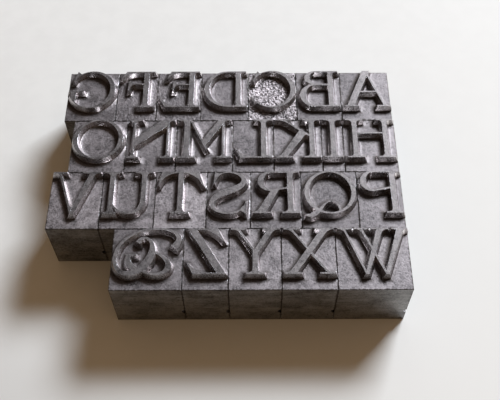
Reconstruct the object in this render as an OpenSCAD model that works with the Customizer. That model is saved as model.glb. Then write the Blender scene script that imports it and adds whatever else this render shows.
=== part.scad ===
// Metal letterpress type: 26 loose cast sorts standing face up in four rows.
// Every sort is one casting: a square-sided body, and a mirror-image letter standing on its shoulder.
// Origin: centre of the set's footprint, on the surface that it stands on.
// +Z is up, and -Y is the side at the foot of the letters.

/* [Body] */
// Body size, from the foot of the letter to its head
body_depth = 21.09; // [21.09:0.01:24]
// Height to paper, from the feet to the printing face
type_height = 23.317; // [22.5:0.001:24.8]
// Depth of the face above the shoulder
face_depth = 2.1; // [1.6:0.1:2.6]
// How far the wall under the letter spreads out on its way down to the shoulder
wall_spread = 0.75; // [0.5:0.01:0.8]
// Width of the groove planed along the feet
groove_width = 4.2; // [2:0.1:6]
// Depth of the groove between the feet
groove_depth = 1.2; // [0.6:0.1:2]
// Radius of the nick cast into the side of the body
nick_radius = 1.0; // [0.6:0.1:1.2]
// Height of the nick's centre above the feet
nick_height = 6.1; // [3:0.1:12]

/* [Letter] */
// Distance from the foot side of the body to the baseline
baseline = 4.3; // [3.8:0.1:4.6]
// Height of the capitals
cap_height = 15.8; // [15:0.1:16]
// Thickness of the thin strokes
hairline = 0.5; // [0.4:0.05:0.6]
// Thickness of a serif
serif = 0.55; // [0.5:0.05:0.65]
// Radius of the curve between a stem and its serif
bracket = 1.2; // [0.9:0.1:1.4]

/* [Set] */
// Clearance between neighbouring sorts
gap = 0.1; // [0.05:0.01:0.3]
// How far the first row from the back stands short of the front row's right-hand end
set_back_1 = 0.5; // [0:0.1:1]
// How far the second row from the back stands short of it
set_back_2 = 0.2; // [0:0.1:1]
// How far the third row from the back stands short of it
set_back_3 = 0.1; // [0:0.1:1]

/* [Widths] */
// Set width of the A
width_a = 16.8; // [16.8:0.1:19]
// Set width of the B
width_b = 15.2; // [15.2:0.1:18]
// Set width of the C
width_c = 16.6; // [16.6:0.1:19]
// Set width of the D
width_d = 16.1; // [16.1:0.1:19]
// Set width of the E
width_e = 15.1; // [15.1:0.1:18]
// Set width of the F
width_f = 13.7; // [13.7:0.1:16]
// Set width of the G
width_g = 17.1; // [17.1:0.1:20]
// Set width of the H
width_h = 17.4; // [17.4:0.1:20]
// Set width of the I
width_i = 7.1; // [7.1:0.1:9]
// Set width of the K
width_k = 15.9; // [15.9:0.1:18]
// Set width of the L
width_l = 13.5; // [13.5:0.1:16]
// Set width of the M
width_m = 18.6; // [18.6:0.1:21]
// Set width of the N
width_n = 16.6; // [16.6:0.1:19]
// Set width of the O
width_o = 18.2; // [18.2:0.1:21]
// Set width of the P
width_p = 14.3; // [14.3:0.1:17]
// Set width of the Q
width_q = 17.8; // [17.8:0.1:20]
// Set width of the R
width_r = 16.1; // [16.1:0.1:19]
// Set width of the S
width_s = 13.9; // [13.9:0.1:16]
// Set width of the T
width_t = 16.4; // [16.4:0.1:19]
// Set width of the U
width_u = 17.0; // [17:0.1:20]
// Set width of the V
width_v = 16.5; // [16.5:0.1:19]
// Set width of the W
width_w = 22.4; // [22.4:0.1:25]
// Set width of the X
width_x = 16.6; // [16.6:0.1:19]
// Set width of the Y
width_y = 16.0; // [16:0.1:19]
// Set width of the Z
width_z = 13.8; // [13.8:0.1:16]
// Set width of the ampersand
width_and = 21.8; // [21.8:0.1:24]

/* [Hidden] */

shoulder = type_height - face_depth;
// The letter's walls run on a little under the shoulder, so that letter and body are one solid
root_depth = 0.3;
root_spread = wall_spread * (face_depth + root_depth) / face_depth;
row_pitch = body_depth + gap;
set_depth = 3 * row_pitch + body_depth;

// Widths in each row from right to left, which is the order of the alphabet on mirror-image type
row_1 = [width_a, width_b, width_c, width_d, width_e, width_f, width_g];
row_2 = [width_h, width_i, width_k, width_l, width_m, width_n, width_o];
row_3 = [width_p, width_q, width_r, width_s, width_t, width_u, width_v];
row_4 = [width_w, width_x, width_y, width_z, width_and];
rows = [row_1, row_2, row_3, row_4];
set_backs = [set_back_1, set_back_2, set_back_3, 0];

function sum(list, count) = count == 0 ? 0 : list[count - 1] + sum(list, count - 1);
function row_length(row) = set_backs[row] + sum(rows[row], len(rows[row])) + gap * (len(rows[row]) - 1);
set_width = max([for (row = [0:3]) row_length(row)]);

// Left edge of a sort, and the foot side of its row
function left_edge(row, place) = set_width / 2 - set_backs[row] - sum(rows[row], place + 1) - gap * place;
function row_foot(row) = (3 - row) * row_pitch - set_depth / 2;

// The letters are drawn between these two lines, and then fitted to the baseline and the height asked for
foot_line = 4.3;
head_line = 20.1;
function placed(p) = [
    for (q = p) [q.x, baseline + (q.y - foot_line) * cap_height / (head_line - foot_line)]
];

// Outlines are lists of points. The first half runs along one side of a stroke, and the second half back.
function signed_area(p) =
    0.5 * sum([for (i = [0:len(p) - 1]) cross(p[i], p[(i + 1) % len(p)])], len(p));
function reversed(p) = [for (i = [len(p) - 1:-1:0]) p[i]];
function anticlockwise(p) = signed_area(p) > 0 ? p : reversed(p);
function out_normal(a, b) = [b.y - a.y, a.x - b.x] / norm(b - a);

// Moves every edge of an anticlockwise outline outwards, and keeps sharp corners from running far out
function spread(p, by) = [
    for (i = [0:len(p) - 1])
        let (
            before = out_normal(p[(i + len(p) - 1) % len(p)], p[i]),
            after = out_normal(p[i], p[(i + 1) % len(p)])
        )
        p[i] + by * (before + after) / max(1 + before * after, 0.6)
];

function at_height(p, z) = [for (q = p) [q.x, q.y, z]];
function side_faces(n, top, low, turn) = [
    for (i = [0:n - 1])
        let (j = (i + 1) % n)
        each turn > 0
            ? [[top + i, top + j, low + j], [top + i, low + j, low + i]]
            : [[top + j, top + i, low + i], [top + j, low + i, low + j]]
];

// A stroke of the letter: flat on top, with walls that spread out as they go down
module raised(outline) {
    top = anticlockwise(placed(outline));
    low = spread(top, root_spread);
    n = len(top);
    rungs = [for (i = [0:n / 2 - 2]) [n - 1 - i, n - 2 - i, i + 1, i]];
    polyhedron(
        points = concat(at_height(top, type_height), at_height(low, shoulder - root_depth)),
        faces = concat(
            rungs,
            [for (r = rungs) [n + r[3], n + r[2], n + r[1], n + r[0]]],
            side_faces(n, 0, n, 1)
        )
    );
}

// A closed round stroke between two ovals with the same number of points
module raised_ring(outer_line, inner_line) {
    outer = placed(outer_line);
    inner = placed(inner_line);
    n = len(outer);
    polyhedron(
        points = concat(
            at_height(outer, type_height),
            at_height(inner, type_height),
            at_height(spread(outer, root_spread), shoulder - root_depth),
            at_height(spread(inner, -root_spread), shoulder - root_depth)
        ),
        faces = concat(
            [for (i = [0:n - 1]) let (j = (i + 1) % n) [n + i, n + j, j, i]],
            [for (i = [0:n - 1]) let (j = (i + 1) % n) [2 * n + i, 2 * n + j, 3 * n + j, 3 * n + i]],
            side_faces(n, 0, 2 * n, 1),
            side_faces(n, n, 3 * n, -1)
        )
    );
}

function oval(centre, radii, count) = [
    for (i = [0:count - 1])
        let (a = 360 * i / count)
        centre + [radii.x * cos(a), radii.y * sin(a)]
];
function arc(centre, radii, from, to, steps) = [
    for (i = [0:steps])
        let (a = from + (to - from) * i / steps)
        centre + [radii.x * cos(a), radii.y * sin(a)]
];
function band(one_side, other_side) = concat(one_side, reversed(other_side));

// A smooth line through points [x, y, width], with a few steps between each pair
function spline(p, i, t) =
    let (
        a = p[max(i - 1, 0)],
        b = p[i],
        c = p[i + 1],
        d = p[min(i + 2, len(p) - 1)]
    )
    0.5 * (2 * b + (c - a) * t + (2 * a - 5 * b + 4 * c - d) * t * t + (3 * b - a - 3 * c + d) * t * t * t);
function smooth(p, steps) = concat(
    [for (i = [0:len(p) - 2]) each [for (k = [0:steps - 1]) spline(p, i, k / steps)]],
    [p[len(p) - 1]]
);
function flat(v) = [v.x, v.y];
function along(p, i) =
    let (v = flat(p[min(i + 1, len(p) - 1)] - p[max(i - 1, 0)]))
    v / norm(v);
function side_line(p, sign) = [
    for (i = [0:len(p) - 1])
        let (v = along(p, i))
        flat(p[i]) + sign * p[i][2] / 2 * [-v.y, v.x]
];
function ribbon(p) = band(side_line(p, 1), side_line(p, -1));

// A straight stroke between two points, square at its ends
module straight(from, to, width) raised(ribbon([[from.x, from.y, width], [to.x, to.y, width]]));
// A curved stroke that swells and thins
module curved(points, steps) raised(ribbon(smooth(points, steps)));
module bar(x0, x1, y0, y1) raised([[x0, y0], [x1, y0], [x1, y1], [x0, y1]]);
// A diagonal with level ends
module diagonal(low0, low1, low_y, high0, high1, high_y)
    raised([[low0, low_y], [low1, low_y], [high1, high_y], [high0, high_y]]);

// An upright stem. It stops inside the serifs at both ends.
stem_inset = 0.15;
module stem(x0, x1) bar(x0, x1, foot_line + stem_inset, head_line - stem_inset);

// A serif from tip to tip across a stroke whose edges meet the line at x0 and x1.
// It is made in two halves that overlap inside the stroke, and a tip of 0 leaves out that half.
// The lean is how far the stroke moves across for each millimetre that it climbs.
// Curved brackets fill the corners. Where the wall that spreads out below has too little room,
// the bracket is one slanted cut, and a narrow corner has none.
curve_angles = [0, 30, 60, 90];
cut_angles = [0, 90];
smallest_curve = 1.05 * root_spread;
smallest_cut = 0.6 * root_spread;
narrow_corner = 0.2;
serif_flat = 0.3;
halves_overlap = 0.3;
function half_serif_line(tip, edge, inner, lean) =
    let (
        side = sign(tip - edge),
        r = min(bracket, abs(tip - edge) - serif_flat)
    )
    r < smallest_cut || side * lean > narrow_corner
        ? [[tip, serif], [inner + lean * serif, serif]]
        : concat(
            [[tip, serif]],
            [
                for (a = r < smallest_curve ? cut_angles : curve_angles)
                    let (climb = serif + r - r * cos(a))
                    [edge + side * (r - r * sin(a)) + lean * climb, climb]
            ]
        );
function half_serif(tip, edge, middle, lean) =
    let (
        inner = middle - sign(tip - edge) * halves_overlap,
        line = half_serif_line(tip, edge, inner, lean),
        last = len(line) - 1
    )
    band(line, [for (i = [0:last]) [tip + (inner - tip) * i / last, 0]]);
module foot(tip0, x0, x1, tip1, lean = 0)
    for (half = [[tip0, x0], [tip1, x1]])
        if (half[0] != 0)
            raised([
                for (q = half_serif(half[0], half[1], (x0 + x1) / 2, lean)) [q.x, foot_line + q.y]
            ]);
module head(tip0, x0, x1, tip1, lean = 0)
    for (half = [[tip0, x0], [tip1, x1]])
        if (half[0] != 0)
            raised([
                for (q = half_serif(half[0], half[1], (x0 + x1) / 2, -lean)) [q.x, head_line - q.y]
            ]);

// A level arm that ends in a pointed beak. It starts at [x, y] and runs to the side dx,
// and the beak grows to the side dy.
beak_tip = 0.35;
function bend(a, b, c, t) = (1 - t) * (1 - t) * a + 2 * t * (1 - t) * b + t * t * c;
function arm_outline(x, y, dx, dy, length, growth, drop, lean) =
    let (
        tip = [length + lean, drop],
        start = [length - growth, hairline],
        pull = [length - 0.1 * growth, hairline + 0.12 * drop],
        outside = [
            [0, 0],
            [length - growth, 0],
            [length - growth / 2, 0],
            [length, 0],
            [length + lean / 3, drop / 3],
            [length + 2 * lean / 3, 2 * drop / 3],
            tip
        ],
        inside = concat([[0, hairline]], [for (t = [0:0.2:1.01]) bend(start, pull, tip - [beak_tip, 0], t)])
    )
    [for (q = band(outside, inside)) [x + dx * q.x, y + dy * q.y]];
module arm(x, y, dx, dy, length, growth, drop, lean)
    raised(arm_outline(x, y, dx, dy, length, growth, drop, lean));

// A level arm between others, centred on y, that flares both ways into a small upright serif
function half_flare(length, growth, reach) =
    let (
        start = [length - growth, hairline / 2],
        pull = [length - 0.15 * growth, hairline / 2 + 0.1 * reach]
    )
    concat(
        [[0, hairline / 2]],
        [for (t = [0:0.2:1.01]) bend(start, pull, [length - beak_tip, reach], t)],
        [[length, reach]]
    );
module middle_arm(x, y, length, growth, rise, drop)
    raised(band(
        [for (q = half_flare(length, growth, rise)) [x - q.x, y + q.y]],
        [for (q = half_flare(length, growth, drop)) [x - q.x, y - q.y]]
    ));

// The beak at the end of a round stroke: a straight outer edge and a hollow inner one
function beak_outline(root_out, tip_out, tip_in, pull, root_in) = band(
    [for (t = [0:0.25:1]) root_out + (tip_out - root_out) * t],
    [for (t = [0:0.25:1]) bend(root_in, pull, tip_in, t)]
);
module beak(root_out, tip_out, tip_in, pull, root_in)
    raised(beak_outline(root_out, tip_out, tip_in, pull, root_in));

// The bowl of B, D, P and R: half an oval on the left of a stem, with level lines back into the stem
bowl_steps = 16;
module bowl(centre, outer, centre_in, inner, stem_x, low_y, low_y_in) {
    outside = concat(
        [[stem_x, centre.y + outer.y]],
        arc(centre, outer, 90, 270, bowl_steps),
        [[stem_x, low_y]]
    );
    inside = concat(
        [[stem_x, centre_in.y + inner.y]],
        arc(centre_in, inner, 90, 270, bowl_steps),
        [[stem_x, low_y_in]]
    );
    raised(band(outside, inside));
}

// One casting in its place in the set. The letter's walls are cut off flush with the sides of the body.
module sort(row, place) {
    width = rows[row][place];
    translate([left_edge(row, place), row_foot(row), 0])
        difference() {
            union() {
                cube([width, body_depth, shoulder]);
                intersection() {
                    translate([0, 0, shoulder - 2 * root_depth])
                        cube([width, body_depth, face_depth + 4 * root_depth]);
                    union() children();
                }
            }
            translate([width, -1, nick_height])
                rotate([-90, 0, 0])
                    cylinder(h = body_depth + 2, r = nick_radius, $fn = 48);
            translate([-1, (body_depth - groove_width) / 2, -1])
                cube([width + 2, groove_width, groove_depth + 1]);
        }
}

metal = "silver";

module sort_a() color(metal) sort(0, 0) {
    diagonal(1.7, 4.15, foot_line + 0.3, 7.8, 10.2, head_line);
    diagonal(14.2, 14.85, foot_line + 0.3, 8.7, 9.35, head_line - 0.5);
    bar(5.3, 12.6, 10.5, 11.05);
    foot(1.0, 1.6, 4.05, 5.7, 0.39);
    foot(11.9, 14.3, 14.95, 16.4, -0.37);
}

module sort_b() color(metal) sort(0, 1) {
    stem(10.9, 12.55);
    foot(0, 10.9, 12.55, 14.4);
    head(0, 10.9, 12.55, 14.4);
    bowl([6.8, 17.0], [4.0, 3.1], [6.8, 17.0], [2.1, 2.6], 11.7, 13.9, 14.4);
    bowl([6.2, 9.25], [5.1, 4.95], [6.2, 9.25], [3.1, 4.4], 11.7, 4.3, 4.85);
}

module sort_c() color(metal) sort(0, 2) {
    raised(band(
        arc([8.3, 12.1], [8.0, 8.2], -152, 132, 36),
        arc([7.6, 12.1], [7.0, 7.65], -152, 132, 36)
    ));
    beak([3.2, 20.1], [1.6, 15.3], [2.0, 15.3], [2.7, 17.8], [4.4, 18.6]);
}

module sort_d() color(metal) sort(0, 3) {
    stem(11.95, 13.6);
    foot(0, 11.95, 13.6, 15.4);
    head(0, 11.95, 13.6, 15.4);
    bowl([9.35, 12.2], [8.2, 7.9], [9.35, 12.2], [6.5, 7.35], 12.8, 4.3, 4.85);
}

module sort_e() color(metal) sort(0, 4) {
    stem(11.05, 12.7);
    foot(0, 11.05, 12.7, 14.6);
    head(0, 11.05, 12.7, 14.6);
    arm(12.0, head_line, -1, -1, 7.4, 3.6, 3.3, 1.5);
    arm(12.0, foot_line, -1, 1, 9.0, 3.8, 3.9, 1.9);
    middle_arm(11.9, 14.3, 6.6, 2.6, 1.2, 3.0);
}

module sort_f() color(metal) sort(0, 5) {
    stem(9.15, 10.8);
    foot(7.3, 9.15, 10.8, 12.65);
    head(0, 9.15, 10.8, 12.8);
    arm(10.1, head_line, -1, -1, 7.2, 3.6, 3.3, 1.9);
    middle_arm(10.0, 14.6, 6.2, 2.6, 1.2, 3.1);
}

module sort_g() color(metal) sort(0, 6) {
    raised(band(
        arc([8.5, 12.15], [7.95, 8.2], -160, 132, 36),
        arc([7.9, 12.15], [6.9, 7.65], -160, 132, 36)
    ));
    raised([[1.45, 11.2], [1.45, 8.45], [3.2, 6.2], [3.2, 11.2]]);
    bar(0.6, 5.8, 11.1, 11.65);
    beak([3.0, 20.2], [1.7, 15.5], [2.1, 15.5], [2.7, 17.9], [4.6, 18.7]);
}

module sort_h() color(metal) sort(1, 0) {
    stem(2.9, 4.5);
    stem(13.0, 14.6);
    foot(0.8, 2.9, 4.5, 6.5);
    foot(11.0, 13.0, 14.6, 16.6);
    head(0.8, 2.9, 4.5, 6.5);
    head(11.0, 13.0, 14.6, 16.6);
    bar(3.7, 13.8, 14.0, 14.55);
}

module sort_i() color(metal) sort(1, 1) {
    stem(2.75, 4.4);
    foot(0.65, 2.75, 4.4, 6.45);
    head(0.65, 2.75, 4.4, 6.45);
}

module sort_k() color(metal) sort(1, 2) {
    stem(11.75, 13.4);
    foot(9.8, 11.75, 13.4, 15.2);
    head(9.7, 11.75, 13.4, 15.2);
    straight([3.2, 19.9], [12.3, 12.9], 0.6);
    head(0.8, 2.5, 3.3, 5.7, -1.3);
    raised([[1.9, 4.6], [4.3, 4.6], [10.8, 14.15], [8.7, 15.6]]);
    foot(0.7, 1.7, 4.1, 6.2, 0.65);
}

module sort_l() color(metal) sort(1, 3) {
    stem(9.4, 11.05);
    head(7.4, 9.4, 11.05, 13.0);
    foot(0, 9.4, 11.05, 13.0);
    arm(10.3, foot_line, -1, 1, 7.8, 4.0, 3.8, 1.5);
}

module sort_m() color(metal) sort(1, 4) {
    stem(2.55, 4.4);
    stem(15.15, 15.8);
    foot(0.7, 2.55, 4.4, 6.3);
    foot(13.3, 15.15, 15.8, 17.9);
    head(0.7, 2.55, 5.2, 0);
    head(0, 14.4, 15.8, 17.9);
    raised([[8.65, 11.7], [9.75, 9.3], [16.2, 19.6], [14.0, 19.9]]);
    straight([4.7, 19.8], [10.2, 7.7], 0.65);
}

module sort_n() color(metal) sort(1, 5) {
    stem(2.3, 2.95);
    stem(13.5, 14.15);
    foot(0.7, 2.3, 2.95, 4.6);
    foot(11.7, 13.5, 14.15, 15.9);
    head(0.7, 2.3, 2.95, 5.2);
    head(0, 12.0, 14.15, 15.9);
    raised([[2.6, 12.0], [11.6, 19.9], [13.8, 19.9], [13.8, 17.6], [8.2, 13.06], [2.6, 8.5]]);
}

module sort_o() color(metal) sort(1, 6) {
    raised_ring(oval([9.1, 12.1], [8.3, 8.15], 44), oval([9.1, 12.1], [6.8, 7.55], 44));
}

module sort_p() color(metal) sort(2, 0) {
    stem(10.35, 12.0);
    foot(8.4, 10.35, 12.0, 13.75);
    head(0, 10.35, 12.0, 13.75);
    bowl([5.0, 16.2], [4.2, 3.9], [5.0, 16.25], [2.3, 3.3], 11.2, 13.7, 14.25);
}

module sort_q() color(metal) sort(2, 1) {
    raised_ring(oval([9.0, 12.1], [8.2, 8.1], 44), oval([9.0, 12.1], [6.7, 7.5], 44));
    curved([
        [11.9, 4.9, 0.5], [11.0, 7.6, 0.5], [9.0, 8.7, 0.55], [7.1, 7.6, 0.7],
        [5.6, 5.6, 1.2], [4.1, 4.2, 1.6], [2.6, 3.5, 1.3], [1.1, 3.6, 0.7]
    ], 3);
}

module sort_r() color(metal) sort(2, 2) {
    stem(11.7, 13.35);
    foot(9.9, 11.7, 13.35, 15.3);
    head(0, 11.7, 13.35, 15.3);
    bowl([6.6, 16.3], [4.4, 3.8], [6.6, 16.3], [2.5, 3.25], 12.5, 13.7, 14.25);
    raised([[1.8, 4.6], [4.7, 4.6], [9.0, 13.0], [6.5, 12.8]]);
    foot(0.7, 1.6, 4.5, 6.5, 0.56);
}

module sort_s() color(metal) sort(2, 3) {
    curved([
        [2.8, 17.3, 0.5], [4.6, 19.3, 0.55], [7.4, 19.8, 0.6], [10.2, 19.0, 0.9], [11.8, 17.2, 1.5],
        [11.4, 15.2, 1.9], [9.4, 13.6, 2.2], [6.3, 12.3, 2.3], [3.4, 10.8, 2.1], [1.8, 8.6, 1.6],
        [2.3, 6.3, 1.1], [4.3, 4.8, 0.7], [7.3, 4.35, 0.6], [10.2, 5.1, 0.6], [11.9, 7.0, 0.5]
    ], 3);
    beak([2.6, 20.1], [2.2, 15.2], [2.6, 15.2], [3.0, 17.4], [4.2, 18.9]);
    beak([12.4, 4.1], [12.8, 9.0], [12.4, 9.0], [12.0, 6.8], [10.8, 5.3]);
}

module sort_t() color(metal) sort(2, 4) {
    stem(7.4, 9.05);
    foot(5.4, 7.4, 9.05, 11.0);
    arm(8.5, head_line, -1, -1, 6.5, 5.0, 5.4, 1.0);
    arm(7.9, head_line, 1, -1, 6.0, 4.7, 5.4, 1.7);
}

module sort_u() color(metal) sort(2, 5) {
    stem(2.6, 4.2);
    foot(1.2, 2.6, 4.2, 5.2);
    head(0.6, 2.6, 4.2, 6.2);
    head(10.7, 12.8, 14.4, 16.4);
    raised(band(
        concat(
            [[14.4, 19.8]],
            arc([9.6, 9.5], [4.8, 5.35], 0, -90, 10),
            arc([9.6, 9.5], [6.3, 5.35], -100, -172, 8)
        ),
        concat(
            [[12.8, 19.8]],
            arc([9.6, 9.7], [3.2, 4.85], 0, -90, 10),
            arc([9.6, 9.7], [5.8, 4.85], -100, -172, 8)
        )
    ));
}

module sort_v() color(metal) sort(2, 6) {
    straight([2.9, 19.8], [7.8, 4.5], 0.65);
    diagonal(7.4, 8.7, 4.15, 12.6, 14.5, head_line - 0.3);
    head(0.8, 2.5, 3.15, 5.2, -0.32);
    head(10.4, 12.7, 14.6, 16.0, 0.33);
}

module sort_w() color(metal) sort(3, 0) {
    straight([2.5, 19.8], [8.5, 4.5], 0.65);
    straight([7.8, 19.8], [14.5, 4.5], 0.65);
    diagonal(8.1, 9.3, 4.15, 12.6, 14.6, head_line - 0.3);
    diagonal(14.1, 15.3, 4.15, 18.8, 20.8, head_line - 0.3);
    head(0.5, 2.1, 2.75, 4.9, -0.39);
    head(5.6, 7.4, 8.05, 10.2, -0.44);
    head(10.9, 12.7, 14.7, 16.2, 0.31);
    head(17.1, 18.9, 20.9, 22.1, 0.32);
}

module sort_x() color(metal) sort(3, 1) {
    diagonal(2.0, 4.4, foot_line + 0.3, 12.3, 14.7, head_line - 0.3);
    straight([2.9, 19.8], [14.0, 4.6], 0.65);
    foot(0.6, 1.8, 4.2, 5.9, 0.68);
    foot(11.3, 13.8, 14.6, 16.1, -0.73);
    head(0.6, 2.3, 3.1, 5.7, -0.73);
    head(10.3, 12.5, 14.9, 16.0, 0.68);
}

module sort_y() color(metal) sort(3, 2) {
    bar(7.25, 8.85, foot_line + stem_inset, 12.4);
    foot(5.2, 7.25, 8.85, 10.9);
    straight([2.9, 19.8], [7.7, 12.2], 0.65);
    raised([[7.3, 11.8], [8.8, 11.2], [14.1, 19.8], [12.0, 19.8]]);
    head(0.7, 2.35, 3.1, 5.3, -0.63);
    head(10.4, 12.2, 14.3, 15.6, 0.6);
}

module sort_z() color(metal) sort(3, 3) {
    diagonal(10.6, 13.2, foot_line + 0.1, 1.3, 3.9, head_line - 0.1);
    arm(1.5, head_line, 1, -1, 8.9, 4.6, 4.6, 2.2);
    arm(13.0, foot_line, -1, 1, 9.8, 4.2, 3.9, 1.9);
}

module sort_and() color(metal) sort(3, 4) {
    curved([
        [19.2, 13.4, 2.3], [20.4, 15.4, 1.9], [20.4, 17.2, 1.5], [18.9, 19.0, 1.0], [16.0, 19.8, 0.7],
        [12.5, 19.9, 0.6], [8.6, 19.1, 0.7], [5.2, 17.2, 0.9], [2.8, 14.6, 1.0], [1.6, 11.6, 1.1],
        [1.4, 9.0, 1.1], [2.2, 6.5, 1.2], [4.1, 4.9, 1.4], [6.6, 4.7, 1.7], [9.2, 6.1, 2.3],
        [11.3, 8.4, 2.6], [12.4, 11.2, 2.2], [12.6, 13.6, 1.5], [11.8, 15.8, 0.9], [10.3, 16.8, 0.8],
        [8.9, 16.3, 1.2], [8.1, 15.1, 1.7]
    ], 3);
    curved([
        [13.0, 12.1, 0.6], [15.4, 10.6, 0.8], [17.2, 8.8, 1.3], [17.7, 6.9, 1.8],
        [16.7, 5.2, 1.5], [14.4, 4.4, 0.8], [12.0, 4.6, 0.7], [9.8, 5.5, 0.7]
    ], 3);
    curved([[8.4, 5.9, 1.4], [6.3, 7.2, 1.9], [5.3, 9.1, 1.7], [5.7, 10.9, 1.2]], 3);
    bar(4.6, 7.9, 10.6, 11.15);
}

sort_a();
sort_b();
sort_c();
sort_d();
sort_e();
sort_f();
sort_g();
sort_h();
sort_i();
sort_k();
sort_l();
sort_m();
sort_n();
sort_o();
sort_p();
sort_q();
sort_r();
sort_s();
sort_t();
sort_u();
sort_v();
sort_w();
sort_x();
sort_y();
sort_z();
sort_and();
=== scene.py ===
"""Looks for a set of metal letterpress type: 26 cast sorts on a pale bench, lit by a window behind them."""

import math
from types import SimpleNamespace

import bmesh
import bpy
from mathutils import Matrix, Vector
from mathutils.kdtree import KDTree


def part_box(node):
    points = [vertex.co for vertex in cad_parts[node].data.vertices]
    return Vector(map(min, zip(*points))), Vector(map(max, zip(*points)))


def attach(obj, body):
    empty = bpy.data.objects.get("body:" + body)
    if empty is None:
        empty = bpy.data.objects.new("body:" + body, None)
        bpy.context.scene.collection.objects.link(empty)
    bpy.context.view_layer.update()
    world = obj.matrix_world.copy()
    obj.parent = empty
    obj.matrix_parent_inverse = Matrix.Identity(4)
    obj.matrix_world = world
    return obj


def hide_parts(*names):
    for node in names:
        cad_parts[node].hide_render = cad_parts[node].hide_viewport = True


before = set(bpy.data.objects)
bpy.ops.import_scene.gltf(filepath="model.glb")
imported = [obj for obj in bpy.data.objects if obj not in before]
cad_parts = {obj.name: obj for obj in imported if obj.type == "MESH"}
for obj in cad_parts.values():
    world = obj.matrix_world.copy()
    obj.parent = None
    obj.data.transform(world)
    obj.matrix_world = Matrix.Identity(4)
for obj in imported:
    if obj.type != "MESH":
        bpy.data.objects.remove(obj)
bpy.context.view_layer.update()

# The sorts.
# Each one is cast in a lead, antimony and tin alloy that sets dull grey, with a fine grain on the shoulder.
# The body's sides are dressed smooth and keep faint level scratches. The letter's edges are softly rounded.
FACE_HEIGHT = 0.023317
SHOULDER_HEIGHT = 0.021217

# How rough a noise texture is, and the range in which nearly all of its values lie
NOISE_ROUGHNESS = 0.6
NOISE_RANGE = (0.3, 0.7)


def add_node(tree, kind, **settings):
    """A new node of a shader tree, with its settings."""
    made = tree.nodes.new(kind)
    for name, value in settings.items():
        setattr(made, name, value)
    return made


def calculate(tree, operation, a, b=None, clamp=False):
    """One step of arithmetic on numbers or on the outputs of other nodes."""
    made = add_node(tree, "ShaderNodeMath", operation=operation, use_clamp=clamp)
    for socket, value in zip(made.inputs, (a, b)):
        if isinstance(value, (int, float)):
            socket.default_value = value
        elif value is not None:
            tree.links.new(value, socket)
    return made.outputs[0]


def total(tree, value, *others):
    """The sum of several values."""
    for other in others:
        value = calculate(tree, "ADD", value, other)
    return value


def product(tree, value, *others):
    """The product of several values."""
    for other in others:
        value = calculate(tree, "MULTIPLY", value, other)
    return value


def ramp(tree, value, low, high, to_low=0.0, to_high=1.0):
    """A soft passage from one level to another, while the value goes from low to high."""
    made = add_node(tree, "ShaderNodeMapRange", interpolation_type="SMOOTHSTEP")
    tree.links.new(value, made.inputs["Value"])
    made.inputs["From Min"].default_value = low
    made.inputs["From Max"].default_value = high
    made.inputs["To Min"].default_value = to_low
    made.inputs["To Max"].default_value = to_high
    return made.outputs["Result"]


def noise(tree, vector, scale, detail):
    """A noise texture, with about as many patches to the metre as its scale."""
    made = add_node(tree, "ShaderNodeTexNoise")
    tree.links.new(vector, made.inputs["Vector"])
    made.inputs["Scale"].default_value = scale
    made.inputs["Detail"].default_value = detail
    made.inputs["Roughness"].default_value = NOISE_ROUGHNESS
    return made.outputs["Fac"]


def varied(tree, texture, least, most):
    """A level that follows a noise texture through nearly all of its range."""
    return ramp(tree, texture, *NOISE_RANGE, least, most)


def level_marks(tree, vector, scale, detail):
    """A noise texture that is drawn out into level marks, by a scale of its own along each axis."""
    made = add_node(tree, "ShaderNodeMapping")
    tree.links.new(vector, made.inputs["Vector"])
    made.inputs["Scale"].default_value = scale
    return noise(tree, made.outputs["Vector"], 1.0, detail)


def split(tree, vector):
    """The parts of a vector, by the names of their axes."""
    made = add_node(tree, "ShaderNodeSeparateXYZ")
    tree.links.new(vector, made.inputs[0])
    return made.outputs


def grey(tree, value):
    """A neutral colour that is as bright as the value."""
    made = add_node(tree, "ShaderNodeCombineColor")
    for socket in made.inputs:
        tree.links.new(value, socket)
    return made.outputs[0]


def mix_colour(tree, share, a, b, blend="MIX"):
    """Colour a with a share of colour b mixed in."""
    # The node's inputs 6 and 7 and its output 2 are the ones for colours
    made = add_node(tree, "ShaderNodeMix", data_type="RGBA", blend_type=blend)
    for socket, value in ((made.inputs[0], share), (made.inputs[6], a), (made.inputs[7], b)):
        if isinstance(value, (int, float, tuple)):
            socket.default_value = value
        else:
            tree.links.new(value, socket)
    return made.outputs[2]


# Ranges of two textures over which pores, and the patches of metal that have pores, come in
PORE_RANGE = (0.68, 0.74)
PORE_PATCHES = (0.45, 0.6)


def metal_textures(tree, place):
    """The grain of the cast metal, from fine specks to broad clouds, and the level marks on the body."""
    blotch = noise(tree, place, scale=260, detail=4)
    pore = noise(tree, place, scale=1500, detail=1)
    return SimpleNamespace(
        fine=noise(tree, place, scale=2200, detail=3),
        grain=noise(tree, place, scale=900, detail=4),
        blotch=blotch,
        cloud=noise(tree, place, scale=70, detail=3),
        scratch=level_marks(tree, place, scale=(90, 90, 2400), detail=4),
        smear=level_marks(tree, place, scale=(110, 110, 260), detail=3),
        pores=product(tree, ramp(tree, pore, *PORE_RANGE), ramp(tree, blotch, *PORE_PATCHES)),
        pit=noise(tree, place, scale=1100, detail=2),
    )


# Heights between which one part of a sort passes into the next
FACE_BAND = (FACE_HEIGHT - 0.0003, FACE_HEIGHT - 0.0001)
FACE_EDGE_BAND = (FACE_HEIGHT - 0.00012, FACE_HEIGHT - 0.0001)
CORNER_BAND = (SHOULDER_HEIGHT + 0.0001, SHOULDER_HEIGHT + 0.0004)
SHOULDER_BAND = (SHOULDER_HEIGHT - 0.0001, SHOULDER_HEIGHT + 0.0001)
SHOULDER_EDGE_BAND = (SHOULDER_HEIGHT, SHOULDER_HEIGHT + 0.00002)

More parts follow.
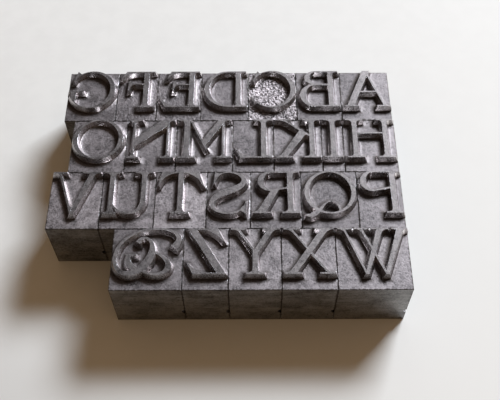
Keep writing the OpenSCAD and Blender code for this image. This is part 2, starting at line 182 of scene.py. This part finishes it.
# Slopes at which a surface turns level, and at which a worn edge starts and ends, where 1 is quite level
LEVEL_SLOPES = (0.9, 0.98)
EDGE_START_SLOPES = (0.4, 0.5)
EDGE_END_SLOPES = (0.99, 0.97)


def metal_zones(tree, height, upward):
    """The parts of a sort that differ in finish, each as a mask that is 1 on that part."""
    level = ramp(tree, upward, *LEVEL_SLOPES)
    steep = calculate(tree, "SUBTRACT", 1.0, level)
    below_shoulder = calculate(tree, "SUBTRACT", 1.0, ramp(tree, height, *SHOULDER_BAND))
    face = product(tree, level, ramp(tree, height, *FACE_BAND))
    letter_wall = product(tree, steep, ramp(tree, height, *CORNER_BAND))
    body_side = product(tree, steep, below_shoulder)
    shoulder = calculate(tree, "SUBTRACT", 1.0, face)
    shoulder = calculate(tree, "SUBTRACT", shoulder, letter_wall)
    shoulder = calculate(tree, "SUBTRACT", shoulder, body_side, clamp=True)
    sloping = product(tree, ramp(tree, upward, *EDGE_START_SLOPES), ramp(tree, upward, *EDGE_END_SLOPES))
    at_shoulder = ramp(tree, height, *SHOULDER_EDGE_BAND, 1.0, 0.0)
    at_face = ramp(tree, height, *FACE_EDGE_BAND)
    worn_edge = product(tree, sloping, calculate(tree, "MAXIMUM", at_shoulder, at_face))
    return SimpleNamespace(
        face=face, letter_wall=letter_wall, body_side=body_side, shoulder=shoulder, worn_edge=worn_edge
    )


# Roughness of the shoulder, and how much smoother each other part is
BLOTCH_ROUGHNESS = (0.46, 0.54)
FINE_ROUGHNESS = (-0.06, 0.06)
FACE_SMOOTHER = -0.04
WALL_SMOOTHER = 0.22
SIDE_SMOOTHER = 0.1
WORN_SMOOTHER = 0.03


def metal_roughness(tree, texture, zone):
    """A dull shoulder with smoother walls and sides."""
    blotches = varied(tree, texture.blotch, *BLOTCH_ROUGHNESS)
    roughness = total(tree, blotches, varied(tree, texture.fine, *FINE_ROUGHNESS))
    for part, smoother in (
        (zone.face, FACE_SMOOTHER),
        (zone.letter_wall, WALL_SMOOTHER),
        (zone.body_side, SIDE_SMOOTHER),
        (zone.worn_edge, WORN_SMOOTHER),
    ):
        roughness = calculate(tree, "SUBTRACT", roughness, product(tree, part, smoother))
    return roughness


# How much darker and lighter each texture makes the metal
CLOUD_SHADE = (-0.15, 0.15)
BLOTCH_SHADE = (-0.2, 0.2)
GRAIN_SHADE = (-0.25, 0.25)
FINE_SHADE = (-0.28, 0.28)
SCRATCH_SHADE = (-0.2, 0.15)
SMEAR_SHADE = (-0.2, 0.28)
SMEAR_RANGE = (0.35, 0.65)
PIT_SHADE = (-0.45, 0.45)
PIT_RANGE = (0.38, 0.62)


def metal_tone(tree, given, texture, zone):
    """How light the metal is from spot to spot, with marks on the sides, pitting and the sort's own tone."""
    shade = total(
        tree,
        varied(tree, texture.cloud, *CLOUD_SHADE),
        varied(tree, texture.blotch, *BLOTCH_SHADE),
        varied(tree, texture.grain, *GRAIN_SHADE),
        varied(tree, texture.fine, *FINE_SHADE),
    )
    scratches = varied(tree, texture.scratch, *SCRATCH_SHADE)
    smears = ramp(tree, texture.smear, *SMEAR_RANGE, *SMEAR_SHADE)
    side_marks = product(tree, total(tree, scratches, smears), zone.body_side)
    pits = product(tree, ramp(tree, texture.pit, *PIT_RANGE, *PIT_SHADE), given["Pitting"], zone.shoulder)
    shade = total(tree, shade, side_marks, pits)
    own_tone = calculate(tree, "SUBTRACT", given["Tone"], 1.0)
    own_tone = total(tree, product(tree, own_tone, zone.shoulder), 1.0)
    return product(tree, total(tree, shade, 1.0), own_tone)


# Colours of the bare metal, and the painted shade on a letter's walls: darker towards the foot, and lighter
# going up and turning to the right
SHOULDER_METAL = (0.242, 0.217, 0.226, 1)
FACE_METAL = (0.205, 0.186, 0.188, 1)
WALL_METAL = (0.95, 0.9, 0.91, 1)
SHADED_WALL_FOOT_METAL = (0.38, 0.33, 0.325, 1)
SIDE_METAL = (0.2, 0.195, 0.19, 1)
WORN_METAL = (0.5, 0.49, 0.52, 1)
WALL_SHADE_BAND = (SHOULDER_HEIGHT, SHOULDER_HEIGHT + 0.0013)
LIT_WALL_SLOPES = (0.1, 0.6)
LIT_WALL_BRIGHTNESS = (0.45, 1.0)


def metal_colour(tree, zone, height, slope_right, tone):
    """The bare metal. Painted shade leaves the walls of the letter brightest at the top and on their
    right-hand sides.
    """
    # Painted shade: the wall darkens towards its foot and on the sides that turn away from the window
    wall = mix_colour(tree, ramp(tree, height, *WALL_SHADE_BAND), SHADED_WALL_FOOT_METAL, WALL_METAL)
    lit_wall_side = ramp(tree, slope_right, *LIT_WALL_SLOPES, *LIT_WALL_BRIGHTNESS)
    wall = mix_colour(tree, 1.0, wall, grey(tree, lit_wall_side), "MULTIPLY")
    colour = mix_colour(tree, zone.face, SHOULDER_METAL, FACE_METAL)
    colour = mix_colour(tree, zone.letter_wall, colour, wall)
    colour = mix_colour(tree, zone.body_side, colour, SIDE_METAL)
    colour = mix_colour(tree, zone.worn_edge, colour, WORN_METAL)
    return mix_colour(tree, 1.0, colour, grey(tree, tone), "MULTIPLY")


# Slopes between which a surface turns to face a joint, where 1 faces it squarely
JOINT_SIDE_SLOPES = (0.75, 0.85)


def joint_margin(tree, given, place, slope):
    """The distance in from the sides of the body, on surfaces that don't face the joint themselves."""
    margins = []
    for axis, low_side, high_side in (("X", "Left", "Right"), ("Y", "Front", "Back")):
        from_low = calculate(tree, "SUBTRACT", place[axis], given[low_side])
        from_high = calculate(tree, "SUBTRACT", given[high_side], place[axis])
        facing_joint = ramp(tree, calculate(tree, "ABSOLUTE", slope[axis]), *JOINT_SIDE_SLOPES)
        margins.append(total(tree, calculate(tree, "MINIMUM", from_low, from_high), facing_joint))
    return calculate(tree, "MINIMUM", *margins)


# The dirt, and painted shade along the foot of the letter: their colour, how strong each is in each place,
# and where they start and end
GRIME_AND_SHADE_COLOUR = (0.045, 0.034, 0.028, 1)
SPECK_RANGE = (0.45, 0.75)
SPECK_STRENGTH = 0.5
RAGGED_RANGE = (0.35, 0.65)
RAGGED_BY = (-0.00012, 0.0001)
JOINT_WIDTH = (0.0001, 0.00026)
JOINT_TOP_BAND = (SHOULDER_HEIGHT + 0.0004, SHOULDER_HEIGHT + 0.0008)
JOINT_STRENGTH = 0.9
CORNER_DIRT_AND_SHADE = (0.5, 0.95)
UNSHADED_SIDE_SLOPES = (0.0, 0.12)


def metal_grime_and_shade(tree, given, texture, place, slope):
    """Dirt in specks and pores, in the joints between the sorts, and dirt with painted shade along the foot
    of the letter.
    """
    specks = product(tree, ramp(tree, texture.grain, *SPECK_RANGE), given["Grime"], SPECK_STRENGTH)
    specks = calculate(tree, "MAXIMUM", specks, texture.pores, clamp=True)
    ragged = ramp(tree, texture.grain, *RAGGED_RANGE, *RAGGED_BY)
    margin = total(tree, joint_margin(tree, given, place, slope), ragged)
    below_letter = ramp(tree, place["Z"], *JOINT_TOP_BAND, 1.0, 0.0)
    joint = product(tree, ramp(tree, margin, *JOINT_WIDTH, 1.0, 0.0), below_letter, JOINT_STRENGTH)
    # Dirt and painted shade along the foot of the letter, left off the side that faces the window
    nearness = add_node(tree, "ShaderNodeAttribute", attribute_name="corner").outputs["Fac"]
    corner = product(
        tree,
        ramp(tree, nearness, 0.0, 1.0),
        ramp(tree, slope["X"], *UNSHADED_SIDE_SLOPES, 1.0, 0.0),
        ramp(tree, texture.grain, *RAGGED_RANGE, *CORNER_DIRT_AND_SHADE),
    )
    return calculate(tree, "MAXIMUM", calculate(tree, "MAXIMUM", specks, joint), corner)


# How high each texture stands, as a multiple of the grain height, and the share of it that a wall keeps
GRAIN_BUMP = 0.8
FINE_BUMP = 0.8
BLOTCH_BUMP = 1.2
SCRATCH_BUMP = 0.8
PIT_BUMP = 16.0
PORE_BUMP = 1.5
WALL_SHARE = 0.25


def metal_bumps(tree, given, texture, zone):
    """The height of the grain, which is faint on the letter's walls, with scratches, pits and pores."""
    grain = total(
        tree,
        product(tree, texture.grain, GRAIN_BUMP),
        product(tree, texture.fine, FINE_BUMP),
        product(tree, texture.blotch, BLOTCH_BUMP),
    )
    grain = product(tree, grain, ramp(tree, zone.letter_wall, 0.0, 1.0, 1.0, WALL_SHARE))
    scratches = product(tree, texture.scratch, SCRATCH_BUMP, zone.body_side)
    pits = product(tree, texture.pit, PIT_BUMP, given["Pitting"], zone.shoulder)
    raised = total(tree, grain, scratches, pits)
    return calculate(tree, "SUBTRACT", raised, product(tree, texture.pores, PORE_BUMP))


def cast_metal_group():
    """Colour, roughness and height of cast type metal, from the place and the slope of the surface."""
    tree = bpy.data.node_groups.new("cast type metal", "ShaderNodeTree")
    for name in ("Pitting", "Tone", "Grime", "Left", "Right", "Front", "Back"):
        tree.interface.new_socket(name, in_out="INPUT", socket_type="NodeSocketFloat")
    tree.interface.new_socket("Color", in_out="OUTPUT", socket_type="NodeSocketColor")
    tree.interface.new_socket("Roughness", in_out="OUTPUT", socket_type="NodeSocketFloat")
    tree.interface.new_socket("Height", in_out="OUTPUT", socket_type="NodeSocketFloat")
    given = add_node(tree, "NodeGroupInput").outputs
    result = add_node(tree, "NodeGroupOutput").inputs
    surface = add_node(tree, "ShaderNodeTexCoord").outputs
    place = split(tree, surface["Object"])
    slope = split(tree, surface["Normal"])
    texture = metal_textures(tree, surface["Object"])
    zone = metal_zones(tree, place["Z"], slope["Z"])
    tone = metal_tone(tree, given, texture, zone)
    colour = metal_colour(tree, zone, place["Z"], slope["X"], tone)
    grime_and_shade = metal_grime_and_shade(tree, given, texture, place, slope)
    tree.links.new(mix_colour(tree, grime_and_shade, colour, GRIME_AND_SHADE_COLOUR), result["Color"])
    tree.links.new(metal_roughness(tree, texture, zone), result["Roughness"])
    tree.links.new(metal_bumps(tree, given, texture, zone), result["Height"])
    return tree


CAST_METAL = cast_metal_group()

# The same on every sort: the share of dirt and of metal, and the strength and height of the grain
GRIME = 0.4
METALLIC = 0.95
GRAIN_STRENGTH = 0.55
GRAIN_HEIGHT = 0.00012


def type_metal(node_name, pitting, tone):
    """The metal of one sort, with its own tone, and dirt along the sides of its own body."""
    material = bpy.data.materials.new(node_name.replace("sort_", "type metal "))
    material.use_nodes = True
    tree = material.node_tree
    low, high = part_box(node_name)
    shader = tree.nodes["Principled BSDF"]
    metal = add_node(tree, "ShaderNodeGroup", node_tree=CAST_METAL)
    for name, value in (
        ("Pitting", pitting),
        ("Tone", tone),
        ("Grime", GRIME),
        ("Left", low[0]),
        ("Right", high[0]),
        ("Front", low[1]),
        ("Back", high[1]),
    ):
        metal.inputs[name].default_value = value
    bump = add_node(tree, "ShaderNodeBump")
    bump.inputs["Strength"].default_value = GRAIN_STRENGTH
    bump.inputs["Distance"].default_value = GRAIN_HEIGHT
    tree.links.new(metal.outputs["Color"], shader.inputs["Base Color"])
    tree.links.new(metal.outputs["Roughness"], shader.inputs["Roughness"])
    tree.links.new(metal.outputs["Height"], bump.inputs["Height"])
    tree.links.new(bump.outputs["Normal"], shader.inputs["Normal"])
    shader.inputs["Metallic"].default_value = METALLIC
    return material


# Distances within which two vertices count as one, on the whole sort and on the outline of its face
WELD_DISTANCE = 1e-7
SHORTEST_EDGE = 0.00012

# Angles below which an edge counts as flat, or is shaded smooth
FLAT_ANGLE = math.radians(0.8)
SHARP_ANGLE = math.radians(36)

# Shares of the letter's depth at which its walls are cut, and the shares to which the cuts are then lowered
WALL_CUTS = (0.15, 0.35, 0.65)
LOWERED_CUTS = (0.15, 0.3, 0.58)

# The worn top edge of the body: how far in it reaches, and how far it drops
WORN_INSET = 0.00014
WORN_DROP = 0.00012

# The corner at the foot of the letter: how far the metal and the dirt with painted shade reach, and how fine
# the mesh is there
FOOT_REACH = 0.0012
DIRT_AND_SHADE_REACH = 0.0016
FOOT_STEP = 0.0002
SHOULDER_CELL = 0.00045
MARGIN_REACH = FOOT_REACH / 3

# The radius of the rounded edges and its steps, and the least height of an upright edge of the body
EDGE_ROUNDING = 0.00005
ROUNDING_STEPS = 2
UPRIGHT_HEIGHT = 0.01

UPWARDS = Vector((0, 0, 1))
ALONG_AND_ACROSS = (Vector((1, 0, 0)), Vector((0, 1, 0)))


def parts_of(faces):
    """The faces with all their edges and vertices."""
    edges = {edge for face in faces for edge in face.edges}
    verts = {vert for face in faces for vert in face.verts}
    return list(verts) + list(edges) + list(faces)


def cut(shape, parts, place, direction):
    """Cuts the parts along a plane, takes nothing away, and gives back the parts with the cut among them."""
    return bmesh.ops.bisect_plane(
        shape, geom=parts, dist=WELD_DISTANCE, plane_co=place, plane_no=direction
    )["geom"]


def on_shoulder(place):
    """Whether a place lies at the height of the shoulder."""
    return abs(place.z - SHOULDER_HEIGHT) < WELD_DISTANCE


def shoulder_faces(shape):
    """The faces that lie flat at the height of the shoulder."""
    return [face for face in shape.faces if on_shoulder(face.calc_center_median())]


def margin_at(place, low, high):
    """The distance in from the nearest side of the body."""
    return min(min(place[axis] - low[axis], high[axis] - place[axis]) for axis in (0, 1))


def flare_walls(shape):
    """Letter walls that stand steep below the face and sweep out to the shoulder, as they are cast."""
    depth = FACE_HEIGHT - SHOULDER_HEIGHT
    for share in WALL_CUTS:
        cut(shape, parts_of(shape.faces), UPWARDS * (SHOULDER_HEIGHT + share * depth), UPWARDS)
    for vert in shape.verts:
        for share, lowered_share in zip(WALL_CUTS, LOWERED_CUTS):
            if abs(vert.co.z - SHOULDER_HEIGHT - share * depth) < WELD_DISTANCE:
                vert.co.z = SHOULDER_HEIGHT + lowered_share * depth
                break


def wear_body_edges(shape, low, high):
    """Top edges of the body that slope away, where sorts have rubbed against each other."""
    for axis, direction in enumerate(ALONG_AND_ACROSS):
        for place in (low[axis] + WORN_INSET, high[axis] - WORN_INSET):
            cut(shape, parts_of(shoulder_faces(shape)), direction * place, direction)
    for vert in shape.verts:
        if on_shoulder(vert.co) and margin_at(vert.co, low, high) < WELD_DISTANCE:
            vert.co.z -= WORN_DROP


def foot_of_letter(shoulder):
    """A search tree of points along the line where the walls of the letter stand on the shoulder."""
    points = []
    for edge in {edge for face in shoulder for edge in face.edges}:
        if max(face.calc_center_median().z for face in edge.link_faces) < SHOULDER_HEIGHT + WELD_DISTANCE:
            continue
        steps = math.ceil(edge.calc_length() / FOOT_STEP)
        start, end = (vert.co for vert in edge.verts)
        points.extend(start.lerp(end, step / steps) for step in range(steps + 1))
    foot = KDTree(len(points))
    for number, point in enumerate(points):
        foot.insert(point, number)
    foot.balance()
    return foot


def fill_foot_corner(shape, low, high, full_rise):
    """Shoulder that rises softly to the foot of the letter, where the cast metal has filled the corner."""
    corner = shape.verts.layers.float.new("corner")
    shoulder = shoulder_faces(shape)
    foot = foot_of_letter(shoulder)
    parts = parts_of(shoulder)
    for axis, direction in enumerate(ALONG_AND_ACROSS):
        for number in range(1, math.ceil((high[axis] - low[axis]) / SHOULDER_CELL)):
            parts = cut(shape, parts, direction * (low[axis] + number * SHOULDER_CELL), direction)
    for vert in {part for part in parts if isinstance(part, bmesh.types.BMVert)}:
        away = foot.find(vert.co)[2]
        settled = min(max((margin_at(vert.co, low, high) - WORN_INSET) / MARGIN_REACH, 0), 1)
        vert.co.z += full_rise * max(1 - away / FOOT_REACH, 0) ** 2 * settled
        # How near the foot is, for the dirt and painted shade along it
        vert[corner] = max(1 - away / DIRT_AND_SHADE_REACH, 0)


def mark_rounded_edges(shape):
    """The outline of the printing face and the upright edges of the body get a small radius."""
    rounding = shape.edges.layers.float.new("bevel_weight_edge")
    for edge in shape.edges:
        if len(edge.link_faces) != 2 or edge.calc_face_angle() < SHARP_ANGLE:
            continue
        bottom, top = sorted(vert.co.z for vert in edge.verts)
        on_outline = bottom > FACE_HEIGHT - WELD_DISTANCE
        upright = top < SHOULDER_HEIGHT and top - bottom > UPRIGHT_HEIGHT
        if on_outline or upright:
            edge[rounding] = 1.0


def shade_smooth(shape):
    """Smooth shading everywhere but across sharp edges."""
    for face in shape.faces:
        face.smooth = True
    for edge in shape.edges:
        edge.smooth = len(edge.link_faces) == 2 and edge.calc_face_angle() < SHARP_ANGLE


def smooth_casting(node_name, material, corner_rise):
    """A clean copy of a sort's mesh, with flared walls, worn body edges and rounded letter edges."""
    mesh = bpy.data.meshes.new(node_name.replace("sort", "cast"))
    shape = bmesh.new()
    shape.from_mesh(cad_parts[node_name].data)
    bmesh.ops.remove_doubles(shape, verts=shape.verts, dist=WELD_DISTANCE)
    bmesh.ops.dissolve_limit(shape, angle_limit=FLAT_ANGLE, verts=shape.verts, edges=shape.edges)
    outline = [vert for vert in shape.verts if vert.co.z > FACE_HEIGHT - WELD_DISTANCE]
    bmesh.ops.remove_doubles(shape, verts=outline, dist=SHORTEST_EDGE)
    low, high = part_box(node_name)
    flare_walls(shape)
    wear_body_edges(shape, low, high)
    fill_foot_corner(shape, low, high, corner_rise)
    mark_rounded_edges(shape)
    shape.normal_update()
    shade_smooth(shape)
    shape.to_mesh(mesh)
    shape.free()
    # The normals that came with the solid don't fit the new faces
    if "custom_normal" in mesh.attributes:
        mesh.attributes.remove(mesh.attributes["custom_normal"])
    mesh.materials.append(material)
    piece = bpy.data.objects.new(mesh.name, mesh)
    bpy.context.scene.collection.objects.link(piece)
    bevel = piece.modifiers.new("rounded edges", "BEVEL")
    bevel.width = EDGE_ROUNDING
    bevel.segments = ROUNDING_STEPS
    bevel.limit_method = "WEIGHT"
    bevel.use_clamp_overlap = False
    bevel.loop_slide = False
    bevel.harden_normals = True
    return piece


# Sorts whose shoulder is pitted, or lighter or darker than that of the rest
PITTED = {"sort_c": 1.0, "sort_e": 0.15, "sort_f": 0.15}
TONES = {
    "sort_g": 1.1, "sort_d": 0.85, "sort_c": 1.5, "sort_b": 0.7, "sort_a": 0.66,
    "sort_o": 1.2, "sort_l": 0.87, "sort_k": 0.88, "sort_i": 0.85, "sort_h": 0.72,
    "sort_v": 1.6, "sort_u": 1.2, "sort_t": 1.5, "sort_s": 0.92, "sort_r": 0.85,
    "sort_q": 0.65, "sort_p": 0.72, "sort_z": 1.1, "sort_y": 1.1, "sort_w": 0.92,
}

# How far the shoulder rises at the foot of the letter
SHALLOW_CORNER = 0.00008
CORNER_RISES = {"sort_" + letter: 0.00012 for letter in "dcbalkih"}
CORNER_RISES.update({"sort_" + letter: 0.0002 for letter in "gfeonm"})

for node_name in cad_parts:
    metal = type_metal(node_name, PITTED.get(node_name, 0.0), TONES.get(node_name, 1.0))
    cast = smooth_casting(node_name, metal, CORNER_RISES.get(node_name, SHALLOW_CORNER))
    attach(cast, node_name)
    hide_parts(node_name)

# The bench.
# A pale painted board that fills the view and takes the set's soft brown shadow.
# It is matt, with faint mottling in the paint. Painted light makes it paler towards the near right, and
# painted shade makes it greyer at the near left.
BENCH_REACH = 3.0
MOTTLE_SCALE = 120
MOTTLED_PAINT = ((0.83, 0.83, 0.83, 1), (0.86, 0.86, 0.86, 1))
PAINTED_LIGHT = (0.93, 0.93, 0.93, 1)
PAINTED_LIGHT_BAND = (-0.15, 0.2)
PAINTED_SHADE = (0.7, 0.7, 0.7, 1)
PAINTED_SHADE_BAND = (-0.145, -0.08)
PAINTED_SHADE_SHARE = 0.75
PAINT_ROUGHNESS = 0.8
PAINT_SHINE = 0.2

bench_mesh = bpy.data.meshes.new("bench")
bench_shape = bmesh.new()
bmesh.ops.create_grid(bench_shape, x_segments=1, y_segments=1, size=BENCH_REACH)
bench_shape.to_mesh(bench_mesh)
bench_shape.free()
bench = bpy.data.objects.new("bench", bench_mesh)
bpy.context.scene.collection.objects.link(bench)

paint = bpy.data.materials.new("bench paint")
paint.use_nodes = True
paint_tree = paint.node_tree
paint_shader = paint_tree.nodes["Principled BSDF"]
paint_surface = add_node(paint_tree, "ShaderNodeTexCoord").outputs["Object"]
paint_place = split(paint_tree, paint_surface)
mottle = varied(paint_tree, noise(paint_tree, paint_surface, MOTTLE_SCALE, detail=3), 0.0, 1.0)
paint_colour = mix_colour(paint_tree, mottle, *MOTTLED_PAINT)
# Painted light towards the near right, and painted shade at the near left
towards_near_right = calculate(paint_tree, "SUBTRACT", paint_place["X"], paint_place["Y"])
lit_near_right = ramp(paint_tree, towards_near_right, *PAINTED_LIGHT_BAND)
paint_colour = mix_colour(paint_tree, lit_near_right, paint_colour, PAINTED_LIGHT)
towards_far_right = total(paint_tree, paint_place["X"], paint_place["Y"])
shaded_near_left = ramp(paint_tree, towards_far_right, *PAINTED_SHADE_BAND, PAINTED_SHADE_SHARE, 0.0)
paint_colour = mix_colour(paint_tree, shaded_near_left, paint_colour, PAINTED_SHADE)
paint_tree.links.new(paint_colour, paint_shader.inputs["Base Color"])
paint_shader.inputs["Roughness"].default_value = PAINT_ROUGHNESS
paint_shader.inputs["Specular IOR Level"].default_value = PAINT_SHINE
bench_mesh.materials.append(paint)

# The light.
# One wide window behind the set and to its right gives the shadow to the front and left.
# The rest of the room is dim and warm, so the shaded bench turns brown. A paler ceiling shows in the metal.
WINDOW_FROM = Vector((0.444, 0.641, 0.605))
WINDOW_DISTANCE = 1.7
WINDOW_SIZE = (0.705, 0.479)
WINDOW_POWER = 39.0
WINDOW_COLOUR = (0.89, 0.95, 1.0)
window_light = bpy.data.lights.new("window", "AREA")
window_light.shape = "RECTANGLE"
window_light.size = WINDOW_SIZE[0]
window_light.size_y = WINDOW_SIZE[1]
window_light.energy = WINDOW_POWER
window_light.color = WINDOW_COLOUR
window = bpy.data.objects.new("window", window_light)
window.location = WINDOW_FROM.normalized() * WINDOW_DISTANCE
window.rotation_euler = WINDOW_FROM.to_track_quat("Z", "Y").to_euler()
bpy.context.scene.collection.objects.link(window)

ROOM_GLOW = (0.19, 0.125, 0.07, 1)
DARK_ROOM = (0.078, 0.054, 0.036, 1)
PALE_CEILING = (0.12, 0.105, 0.094, 1)
CEILING_SIDES = {"Z": (0.3, 0.75), "X": (-0.5, -0.1), "Y": (-0.3, 0.4)}
room = bpy.data.worlds.new("room")
room.use_nodes = True
room_tree = room.node_tree
room_light = room_tree.nodes["Background"]
look = split(room_tree, add_node(room_tree, "ShaderNodeTexCoord").outputs["Generated"])
ceiling = product(room_tree, *(ramp(room_tree, look[axis], *side) for axis, side in CEILING_SIDES.items()))
seen_in_metal = mix_colour(room_tree, ceiling, DARK_ROOM, PALE_CEILING)
ray = add_node(room_tree, "ShaderNodeLightPath")
room_colour = mix_colour(room_tree, ray.outputs["Is Glossy Ray"], ROOM_GLOW, seen_in_metal)
room_tree.links.new(room_colour, room_light.inputs["Color"])
room_light.inputs["Strength"].default_value = 1.0
bpy.context.scene.world = room

# The camera.
# It stands at the place that the photograph was taken from, above the set and in front of it.
# Its place, its turn and its focal length were fitted to the photograph, which is 500 pixels wide.
CAMERA_TARGET = Vector((0.00753, 0.00273, 0))
CAMERA_DISTANCE = 0.28224
CAMERA_ELEVATION = math.radians(57.73)
CAMERA_AZIMUTH = math.radians(0.41)
CAMERA_ROLL = math.radians(-0.56)
FOCAL_PIXELS = 808.3
IMAGE_WIDTH = 500
SENSOR_WIDTH = 36.0
NEAREST_SEEN = 0.01
camera_data = bpy.data.cameras.new("camera")
camera_data.sensor_width = SENSOR_WIDTH
camera_data.lens = FOCAL_PIXELS / IMAGE_WIDTH * SENSOR_WIDTH
camera_data.clip_start = NEAREST_SEEN
camera = bpy.data.objects.new("camera", camera_data)
towards_camera = Vector((
    math.sin(CAMERA_AZIMUTH) * math.cos(CAMERA_ELEVATION),
    -math.cos(CAMERA_AZIMUTH) * math.cos(CAMERA_ELEVATION),
    math.sin(CAMERA_ELEVATION),
))
turn = towards_camera.to_track_quat("Z", "Y").to_matrix().to_4x4() @ Matrix.Rotation(CAMERA_ROLL, 4, "Z")
camera.matrix_world = Matrix.Translation(CAMERA_TARGET + towards_camera * CAMERA_DISTANCE) @ turn
bpy.context.scene.collection.objects.link(camera)
bpy.context.scene.camera = camera
bpy.context.scene.view_settings.view_transform = "Standard"
